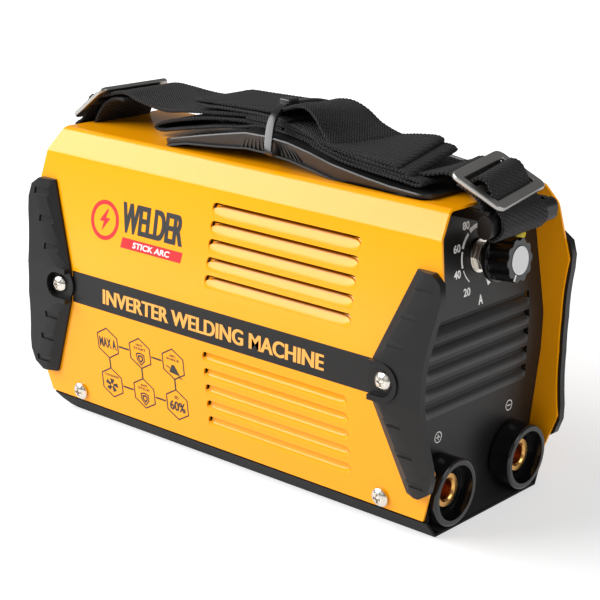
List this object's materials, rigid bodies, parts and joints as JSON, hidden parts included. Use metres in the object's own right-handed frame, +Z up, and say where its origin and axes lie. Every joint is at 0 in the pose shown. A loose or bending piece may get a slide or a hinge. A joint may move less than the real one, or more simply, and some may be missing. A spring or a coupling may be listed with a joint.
{
  "type": "stick welder",
  "caption": "Compact inverter stick welder: louvred sheet-steel case with plastic corner guards, panel sockets, a current knob, rear fan and switch, and a shoulder strap.",
  "frame": {"origin": "on the underside of the base tray, midway between the four mid-height side screws", "axes": "+Y from the front panel towards the rear panel along the case, +Z up, +X to the right seen from the front"},
  "size_m": [0.1156, 0.2615, 0.1689],
  "materials": {
    "yellow_paint": "satin",
    "black_sheet": "fine textured satin",
    "guard_plastic": "satin moulded",
    "screw_steel": "nickel plated",
    "socket_plastic": "gloss moulded",
    "brass": "machined",
    "cap_metal": "turned, circular brushed",
    "indicator_yellow": "glossy translucent",
    "webbing": "ribbed woven",
    "pad_rubber": "moulded, satin",
    "buckle_metal": "satin",
    "tie_plastic": "glossy",
    "rocker_red": "glossy",
    "fan_plastic": "moulded",
    "zinc_wire": "zinc plated",
    "board_green": "coated",
    "aluminium": "extruded",
    "package_black": "moulded",
    "ferrite": "sintered",
    "copper": "bare",
    "can_blue": "sleeved",
    "lead_brown": "insulated"
  },
  "bodies": {
    "case": {"cover": "yellow_paint", "base_tray": "black_sheet", "front_panel": "black_sheet", "rear_panel": "black_sheet", "strap_bar_front": "black_sheet", "strap_bar_rear": "black_sheet", "guard_front_left": "guard_plastic", "guard_front_right": "guard_plastic", "guard_rear_left": "guard_plastic", "guard_rear_right": "guard_plastic", "guard_screws": "screw_steel", "cover_screws": "screw_steel", "fan_screws": "screw_steel", "pot_nut": "screw_steel", "positive_socket_collar": "socket_plastic", "negative_socket_collar": "socket_plastic", "indicator_holder": "socket_plastic", "cable_gland": "socket_plastic", "gland_nut": "socket_plastic", "switch_housing": "socket_plastic", "positive_socket_insert": "brass", "negative_socket_insert": "brass", "socket_lock_nuts": "brass", "earth_screw": "brass", "board_standoffs": "brass", "indicator_lens": "indicator_yellow", "strap_loop_front": "webbing", "strap_loop_rear": "webbing", "strap_run_front": "webbing", "strap_run_rear": "webbing", "strap_bundle": "webbing", "shoulder_pad": "pad_rubber", "buckle_front": "buckle_metal", "buckle_rear": "buckle_metal", "strap_tie": "tie_plastic", "fan_frame": "fan_plastic", "fan_guard": "zinc_wire", "power_board": "board_green", "control_board": "board_green", "heatsink_left": "aluminium", "heatsink_right": "aluminium", "power_transistors": "package_black", "rectifier_diodes": "package_black", "potentiometer": "package_black", "transformer_core": "ferrite", "inductor_core": "ferrite", "transformer_winding": "copper", "inductor_winding": "copper", "output_bar_positive": "copper", "output_bar_negative": "copper", "bus_capacitors": "can_blue", "input_relay": "can_blue", "mains_leads": "lead_brown"},
    "knob": {"pot_shaft": "screw_steel", "current_knob": "socket_plastic", "knob_cap": "cap_metal"},
    "rocker": {"power_rocker": "rocker_red"},
    "fan": {"fan_rotor": "fan_plastic"}
  },
  "joints": [
    {"name": "current_setting", "type": "hinge", "parent": "case", "child": "knob", "pos_m": [0, -0.10718, 0.1155], "axis": [0, -0.9962, 0.0872], "range_deg": [-300, 0]},
    {"name": "power_switch", "type": "hinge", "parent": "case", "child": "rocker", "pos_m": [-0.02, 0.1107, 0.027], "axis": [1, 0, 0], "range_deg": [-16, 0]},
    {"name": "fan_spin", "type": "hinge", "parent": "case", "child": "fan", "pos_m": [0, 0.09, 0.084], "axis": [0, 1, 0], "continuous": true}
  ]
}
